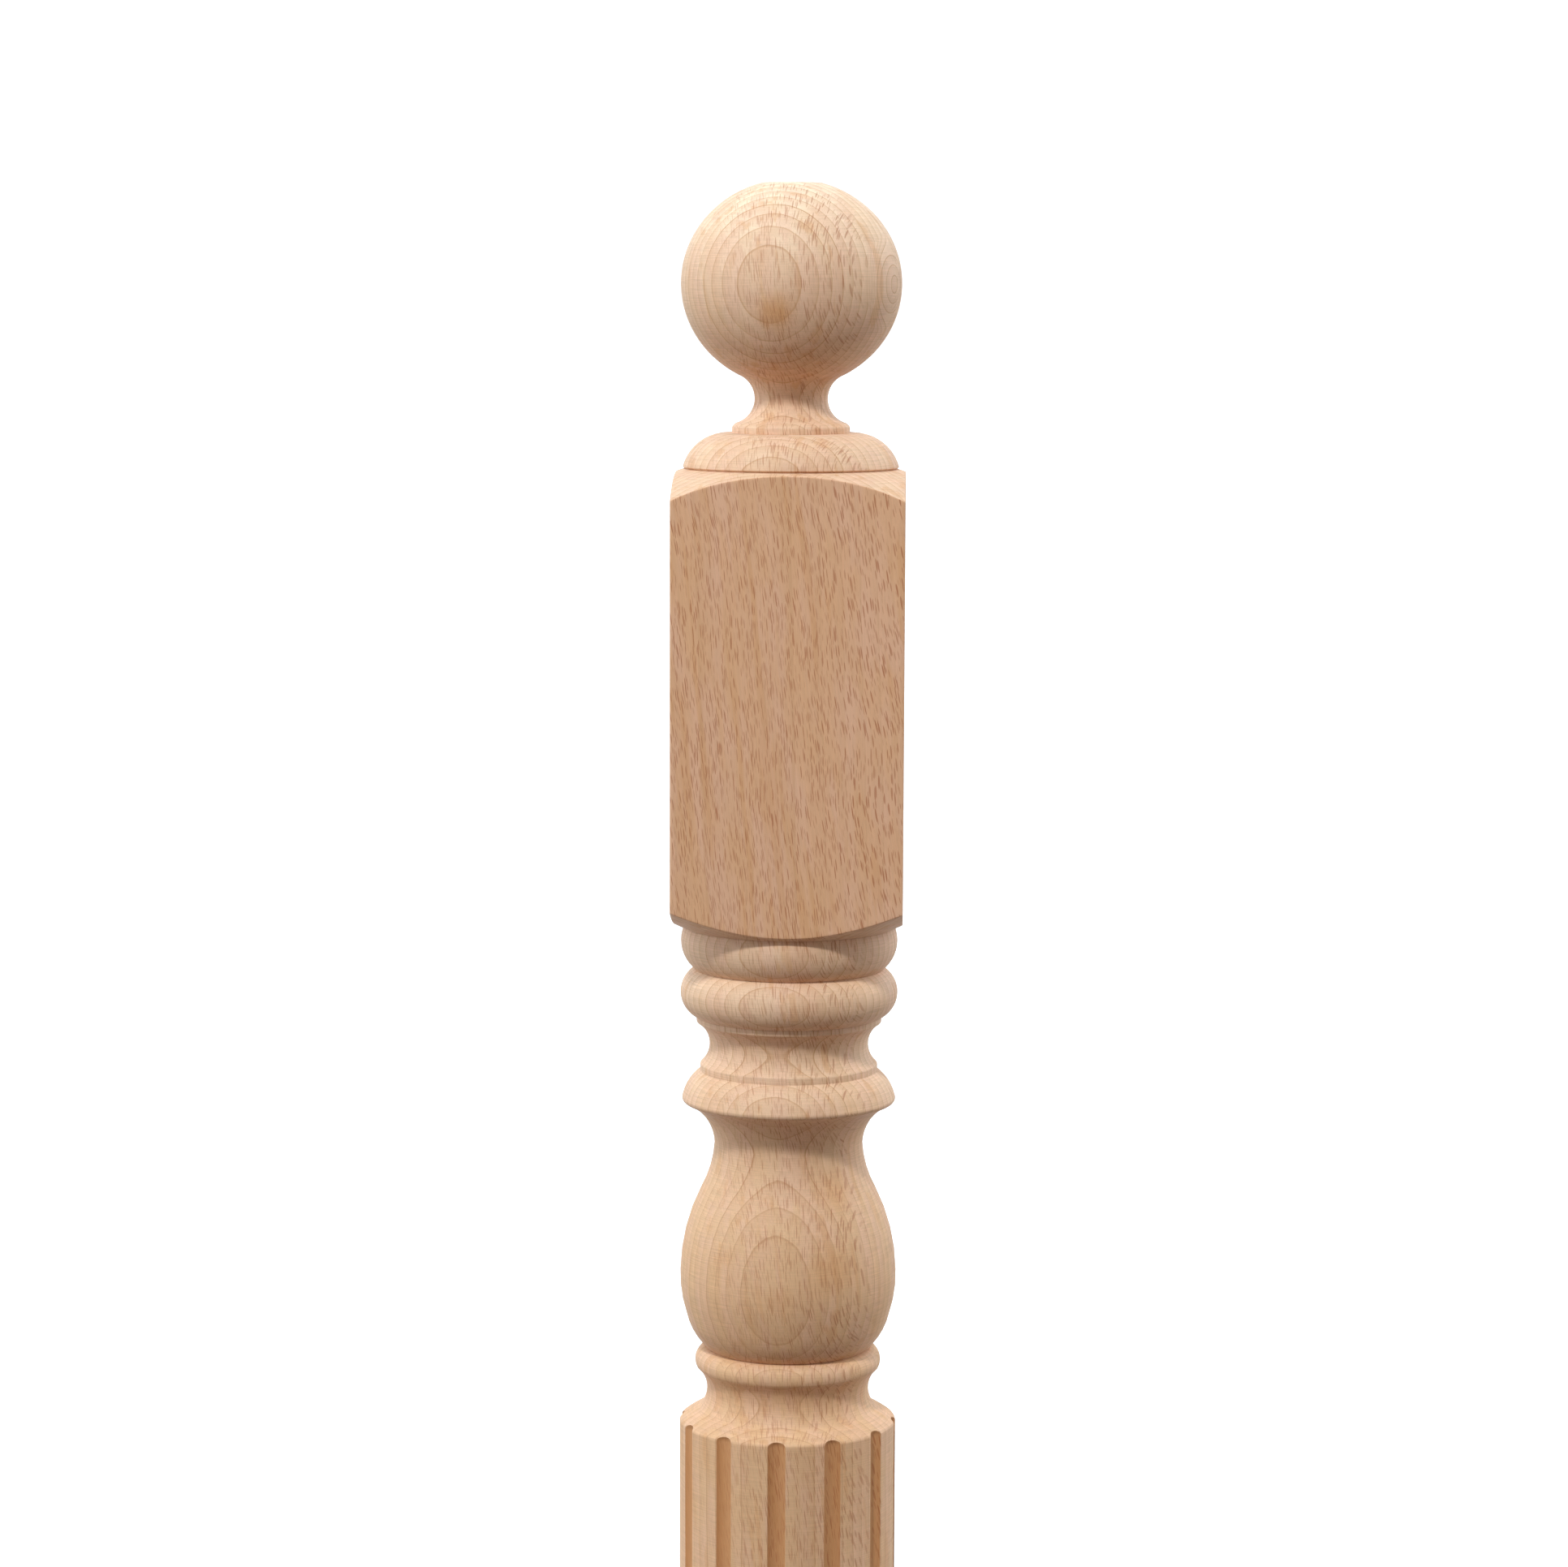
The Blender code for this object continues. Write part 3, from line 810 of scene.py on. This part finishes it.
class Wiring:
    """Adds the nodes of one material or world and links them."""

    def __init__(self, owner):
        owner.use_nodes = True
        self.tree = owner.node_tree
        self.tree.nodes.clear()

    def make(self, kind, settings=None, values=None, result=0):
        """A node with its settings and the values or links of its sockets; gives one result."""
        node = self.tree.nodes.new(kind)
        for name, value in (settings or {}).items():
            setattr(node, name, value)
        for name, value in (values or {}).items():
            if isinstance(value, Wire):
                self.tree.links.new(value.socket, node.inputs[name])
            else:
                node.inputs[name].default_value = value
        if result is None:
            return node
        return Wire(self, node.outputs[result])

    def between(self, value, low, high):
        """A smooth mask, 0 up to low and 1 from high on; the other way round if low is higher."""
        flip = low > high
        first, last = (high, low) if flip else (low, high)
        mask = self.make("ShaderNodeMapRange", {"interpolation_type": "SMOOTHSTEP"},
                         {"Value": value, "From Min": first, "From Max": last})
        return 1.0 - mask if flip else mask

    def place(self, x, y, z):
        """A vector from three numbers."""
        return self.make("ShaderNodeCombineXYZ", None, {0: x, 1: y, 2: z})

    def coordinates(self, kind):
        """The three numbers of a place or a direction."""
        spot = self.make("ShaderNodeTexCoord", None, None, kind)
        split = self.make("ShaderNodeSeparateXYZ", None, {0: spot}, None)
        return [Wire(self, split.outputs[axis]) for axis in range(3)]

    def distance(self, spot, middle):
        """How far a place is from a fixed point."""
        off = [(axis - value) ** 2.0 for axis, value in zip(spot, middle)]
        return (off[0] + off[1] + off[2]) ** 0.5

    def noise(self, x, y, z, detail, roughness):
        """Soft noise from 0 to 1 at a place in its own units."""
        return self.make("ShaderNodeTexNoise", {"noise_dimensions": "3D"},
                         {"Vector": self.place(x, y, z), "Scale": 1.0, "Detail": detail,
                          "Roughness": roughness})

    def patches(self, spot, size, shift=0.0, detail=2.0, roughness=0.5):
        """Soft noise in patches of about a given size."""
        x, y, z = [axis / step for axis, step in zip(spot, size)]
        return self.noise(x + shift, y, z, detail, roughness)

    def spindles(self, x, y, z):
        """Distance to the nearest of many scattered spindles, and a number of its own for each."""
        node = self.make("ShaderNodeTexVoronoi", None,
                         {"Vector": self.place(x, y, z), "Scale": 1.0}, None)
        own = self.make("ShaderNodeSeparateColor", None, {0: Wire(self, node.outputs["Color"])})
        return Wire(self, node.outputs["Distance"]), own

    def finish(self, kind, values, output="ShaderNodeOutputMaterial"):
        """The shader that shows, linked to the output."""
        shader = self.make(kind, None, values)
        end = self.make(output, None, None, None)
        self.tree.links.new(shader.socket, end.inputs["Surface"])

    def mix(self, part, first, last, blend="MIX"):
        """One colour laid over another."""
        settings = {"data_type": "RGBA", "blend_type": blend}
        return self.make("ShaderNodeMix", settings, {0: part, 6: first, 7: last}, 2)


def rgba(colour):
    """A colour as a shader takes it."""
    return (colour[0], colour[1], colour[2], 1.0)


class Figure:
    """The figure of the wood, the marks of the lathe and painted crease shade, as masks over the post.
    """

    def __init__(self, wires, look, blank):
        self.wires = wires
        self.look = look
        self.spot = [axis * PER_MM for axis in wires.coordinates("Object")]
        x, y, z = self.spot
        half = blank.width * PER_MM / 2.0
        reach = x.maths("MAXIMUM", abs(x), abs(y))
        self.planed = wires.between(reach, half - FACE_DEPTHS[0], half - FACE_DEPTHS[1])
        cut = wires.make("ShaderNodeAttribute", {"attribute_name": "cut_depth"}, None, "Fac")
        self.fluted = wires.between(cut, *FLUTE_DEPTHS)

        # Place in the tree: round its centre, out from it, and up it
        self.below = (CAD_BOX[1].z - look.ball_drop) * PER_MM - z
        wander = wires.patches(self.spot, WANDER, detail=1.0) - 0.5
        pith = look.pith_right * PER_MM + self.below * look.pith_lean
        self.side = x - pith + wander * WANDER_REACH
        self.depth = y + look.pith_front * PER_MM
        self.out = (self.side * self.side + self.depth * self.depth) ** 0.5
        sway = wires.patches(self.spot, SWAY, detail=1.0) - 0.5
        turn = x.maths("ARCTAN2", self.side, self.depth)
        around = turn * (look.ray_radius * PER_MM) + z * look.lean + sway * SWAY_REACH
        self.place = (around, self.out, z)

    def add_rings(self):
        """Growth rings: each darkens slowly and ends in a thin dark line."""
        wires, look = self.wires, self.look
        ripple = wires.patches(self.spot, RIPPLE) - 0.5
        first = look.first_ring * PER_MM + self.below * look.ring_drift
        width = look.ring_width * PER_MM
        spread = width + self.below * look.ring_spread
        years = (self.out + ripple * RIPPLE_REACH - first) / spread
        swirl = wires.distance(self.spot, [value * PER_MM for value in look.swirl])
        reach = look.swirl_reach * PER_MM
        curl = wires.between(swirl, reach, reach * SWIRL_CORE)
        years = years + (swirl / width + SWIRL_YEAR - years) * curl + SPARE_YEARS
        grown = years.maths("FRACT", years)
        year = years.maths("FLOOR", years)
        vigour = wires.make("ShaderNodeTexWhiteNoise", {"noise_dimensions": "1D"}, {"W": year})
        growing = wires.between(grown, *YEAR_END)
        self.band = wires.between(grown, *BAND_YEAR) * growing
        line = wires.between(grown, *LINE_YEAR) * growing
        plain, strong, curled = LINE_VIGOUR
        self.line = line * (vigour * strong + plain + curl * curled)

    def add_fibres(self):
        """Fibres and streaks along the grain, and soft changes of tone."""
        wires = self.wires
        self.fibre = wires.patches(self.place, FIBRES, detail=3.0, roughness=0.6)
        self.streak = wires.between(wires.patches(self.place, STREAKS), *STREAK_NOISE)
        self.blush = wires.patches(self.place, BLUSH, BLUSH_SHIFT)
        self.warmth = wires.patches(self.place, WARMTH, WARMTH_SHIFT)

    def add_rays(self):
        """Rays: dark spindles, faint at the left and where a surface lies along them."""
        wires, look = self.wires, self.look
        around, out, z = self.place
        wide, long = look.ray_width * PER_MM, look.ray_length * PER_MM
        spread = around * (wires.between(out, *NEW_RAYS) + 1.0) / wide
        ray, tone = wires.spindles(spread, out / RAY_DEPTH, z / long)
        small, small_tone = wires.spindles(spread / SMALL_RAY_WIDTH + SMALL_RAY_SHIFT,
                                           out / SMALL_RAY_DEPTH, z * SMALL_RAYS_LONG / long)
        normal = wires.coordinates("Normal")
        facing = abs((normal[0] * self.side + normal[1] * self.depth) / out)
        turned = wires.between(self.spot[0], *LEFT_FADE) * wires.between(facing, *TURNED_FACING)
        turned = turned * TURNED_RAYS[1] + TURNED_RAYS[0]
        planed = wires.between(facing, *PLANED_FACING) * PLANED_RAYS[1] + PLANED_RAYS[0]
        self.fade = turned + self.planed * (planed - turned)
        tone = RAY_DARKNESS[0] + tone * RAY_DARKNESS[1]
        small_tone = SMALL_RAY_DARKNESS[0] + small_tone * SMALL_RAY_DARKNESS[1]
        rays = wires.between(ray, *RAY_EDGE) * tone
        small_rays = wires.between(small, *SMALL_RAY_EDGE) * small_tone
        self.fleck = rays.maths("MAXIMUM", rays, small_rays) * self.fade

    def add_lathe_marks_and_crease_shade(self, creases):
        """Marks of the lathe round the turned parts, and painted shade in a thin line along each crease.
        """
        wires = self.wires
        x, y, z = self.spot
        turn = x.maths("ARCTAN2", x, y)
        lathe = wires.noise(turn * LATHE_ROUND, 0.0, z * LATHE_DOWN, 1.0, LATHE_NOISE) - 0.5
        lathe = lathe * (1.0 - self.planed) * (1.0 - self.fluted)
        self.lathe = lathe * (LATHE_STRENGTH - self.fade)
        # Painted shade at each crease's height
        shade_lines = [wires.between(abs(z - height * PER_MM), *CREASE_SHADE_REACH) for height in creases]
        self.crease = shade_lines[0]
        for shade_line in shade_lines[1:]:
            self.crease = shade_line.maths("MAXIMUM", self.crease, shade_line)

    def added(self, plain, parts):
        """A plain number, with so much of each mark added to it."""
        for name, part in parts.items():
            plain = plain + getattr(self, name) * part
        return plain


def beech_colour(wires, look, figure):
    """The colour of the wood, laid on in layers, with painted light on the ball's top and painted shade
    along the creases.
    """
    def by_finish(turned, more):
        return turned + figure.planed * more

    layers = [
        # Painted light: the ball's top is laid on palest, as if lit from above
        (wires.between(figure.below, *PAINTED_LIGHT_DROP) * PAINTED_LIGHT_LAYER, look.painted_top_light),
        (figure.planed, look.face),
        (wires.between(figure.blush, *BLUSH_NOISE) * BLUSH_LAYER, look.blush),
        (wires.between(figure.warmth, *WARMTH_NOISE) * by_finish(*HONEY_LAYER), look.honey),
        (figure.streak * STREAK_LAYER, look.streak),
        (figure.band * by_finish(*BAND_LAYER), look.late),
        (figure.line * by_finish(*LINE_LAYER), look.late),
    ]
    for middle, reach, strength in STAINS:
        away = wires.distance(figure.spot, middle) + (figure.fibre + figure.blush) * STAIN_FEATHER
        stain = wires.between(away, reach + STAIN_FEATHER, STAIN_FEATHER)
        layers.append((stain * strength, look.streak))
    # The flutes are laid on darker and browner
    layers.append((figure.fluted * FLUTE_LAYER, look.flute))
    colour = wires.mix(wires.between(figure.below, *RUDDY_DROP), rgba(look.pale), rgba(look.ruddy))
    for part, over in layers:
        colour = wires.mix(part, colour, rgba(over))
    tone = figure.added(PLAIN_TONE, TONE)
    shade = wires.make("ShaderNodeCombineColor", None, {0: tone, 1: tone, 2: tone})
    colour = wires.mix(1.0, colour, shade, "MULTIPLY")
    colour = wires.mix(figure.fleck * FLECK_LAYER, colour, rgba(look.fleck))
    # Painted shade: a thin dark line along each hollow crease
    return wires.mix(figure.crease * CREASE_SHADE_LAYER, colour, rgba(look.crease))


def beech(scene, creases):
    """Bare sanded beech, with its figure laid out round the tree's own centre."""
    look = scene.newel_beech
    material = bpy.data.materials.new("beech")
    wires = Wiring(material)
    figure = Figure(wires, look, scene.newel_blank)
    figure.add_rings()
    figure.add_fibres()
    figure.add_rays()
    figure.add_lathe_marks_and_crease_shade(creases)
    bump = wires.make("ShaderNodeBump", None, {"Height": figure.added(0.0, RELIEF),
                                               "Distance": MM, "Strength": 1.0})
    wires.finish("ShaderNodeBsdfPrincipled", {
        "Base Color": beech_colour(wires, look, figure), "Normal": bump, "Metallic": 0.0,
        "Roughness": figure.added(look.roughness, ROUGHNESS), "Specular IOR Level": WOOD_SPECULAR})
    return material


class NEWEL_OT_post(bpy.types.Operator):
    """Turn the newel post from its blank and finish it in bare beech"""

    bl_idname = "newel.post"
    bl_label = "Newel post"

    def execute(self, context):
        solid, creases = turn_post(context.scene)
        mesh = bpy.data.meshes.new("turned_post")
        solid.to_mesh(mesh)
        solid.free()
        mesh.shade_smooth()
        mesh.set_sharp_from_angle(angle=CREASE_ANGLE)
        mesh.materials.append(beech(context.scene, creases))
        post = bpy.data.objects.new("turned_post", mesh)
        context.scene.collection.objects.link(post)
        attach(post, "root")
        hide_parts("newel_post")
        return {"FINISHED"}


class NEWEL_OT_studio(bpy.types.Operator):
    """Set up the floor, the soft light and the camera"""

    bl_idname = "newel.studio"
    bl_label = "Studio"

    def execute(self, context):
        scene = context.scene
        look = scene.newel_studio
        add_floor(scene, look)
        add_light(scene, look)
        add_camera(scene, look)
        scene.view_settings.view_transform = "Standard"
        return {"FINISHED"}


def add_floor(scene, look):
    """A wide pale floor."""
    mesh = bpy.data.meshes.new("studio_floor")
    disc = bmesh.new()
    bmesh.ops.create_circle(disc, cap_ends=True, segments=96, radius=FLOOR_RADIUS)
    disc.to_mesh(mesh)
    disc.free()
    material = bpy.data.materials.new("pale floor")
    Wiring(material).finish("ShaderNodeBsdfPrincipled", {
        "Base Color": rgba(look.floor), "Roughness": FLOOR_ROUGHNESS,
        "Specular IOR Level": FLOOR_SPECULAR, "Emission Color": rgba(look.floor),
        "Emission Strength": FLOOR_GLOW})
    mesh.materials.append(material)
    floor = bpy.data.objects.new("studio_floor", mesh)
    floor.location.z = -FLOOR_DROP
    floor.visible_diffuse = False
    scene.collection.objects.link(floor)


def add_light(scene, look):
    """Soft light from all round that differs with its direction, and two square lamps."""
    scene.world = bpy.data.worlds.new("studio")
    wires = Wiring(scene.world)
    across, ahead, up = wires.coordinates("Generated")
    walls = look.fill + wires.between(ahead, *BACK_WALL) * look.back
    rear = wires.between(ahead, *REAR_HALF)
    left = wires.between(across, *LEFT_WALL) * (LEFT_FRONT + rear * (1.0 - LEFT_FRONT))
    walls = walls + left * look.left
    walls = walls + wires.between(across, *RIGHT_WALL) * rear * look.right
    walls = walls + wires.between(up, *CEILING) * look.ceiling
    above = wires.between(up, *HORIZON)
    seen = wires.make("ShaderNodeLightPath", None, None, "Is Camera Ray")
    strength = look.ground + above * (walls - look.ground)
    strength = strength + seen * (SEEN_GLOW - strength)
    hue = wires.mix(wires.between(ahead, *FRONT_WALL), rgba(look.cool), rgba(look.neutral))
    hue = wires.mix(above, rgba(look.warm), hue)
    hue = wires.mix(seen, hue, rgba(look.backdrop))
    wires.finish("ShaderNodeBackground", {"Color": hue, "Strength": strength},
                 "ShaderNodeOutputWorld")
    add_lamp(scene, "softbox", look.key, look.key_size, look.key_place, look.lamp)
    add_lamp(scene, "side_light", look.side, look.side_size, look.side_place, look.side_colour)


def add_lamp(scene, name, power, size, place, colour):
    """A square light that faces the upper part of the post."""
    lamp = bpy.data.lights.new(name, "AREA")
    lamp.energy = power
    lamp.size = size
    lamp.color = colour
    light = bpy.data.objects.new(name, lamp)
    light.location = place
    aim = Vector(place) - Vector(LAMP_AIM)
    light.rotation_euler = aim.to_track_quat("Z", "Y").to_euler()
    scene.collection.objects.link(light)


def add_camera(scene, look):
    """The camera, at the height of the ball and a little to the right of the post's front."""
    lens = bpy.data.cameras.new("camera")
    lens.lens = look.focal
    lens.sensor_width = 36.0
    camera = bpy.data.objects.new("camera", lens)
    stand = Matrix.Rotation(look.turn, 4, "Z") @ Matrix.Translation(
        (look.side_step, -look.distance, look.height))
    aim = Matrix.Rotation(math.pi / 2.0 - look.tilt, 4, "X") @ Matrix.Rotation(look.roll, 4, "Z")
    camera.matrix_world = stand @ aim
    scene.collection.objects.link(camera)
    scene.camera = camera


class NEWEL_PT_panel(bpy.types.Panel):
    """The sizes and colours of the newel post, and the buttons that build it"""

    bl_idname = "NEWEL_PT_panel"
    bl_label = "Newel post"
    bl_space_type = "VIEW_3D"
    bl_region_type = "UI"
    bl_category = "Newel post"

    def draw(self, context):
        layout = self.layout
        layout.operator(NEWEL_OT_post.bl_idname)
        layout.operator(NEWEL_OT_studio.bl_idname)
        for group in GROUPS:
            sizes = getattr(context.scene, group)
            box = layout.box()
            box.label(text=GROUPS[group].__doc__)
            for name in sizes.__annotations__:
                box.prop(sizes, name)


CLASSES = tuple(GROUPS.values()) + (NEWEL_OT_post, NEWEL_OT_studio, NEWEL_PT_panel)


def register():
    """Adds the sizes, the buttons and the panel."""
    for entry in CLASSES:
        bpy.utils.register_class(entry)
    for name, group in GROUPS.items():
        setattr(bpy.types.Scene, name, PointerProperty(type=group))


def unregister():
    """Takes them away again."""
    for name in GROUPS:
        delattr(bpy.types.Scene, name)
    for entry in reversed(CLASSES):
        bpy.utils.unregister_class(entry)


def main():
    """Builds the post and its studio."""
    register()
    bpy.ops.newel.post()
    bpy.ops.newel.studio()


if __name__ == "__main__":
    main()
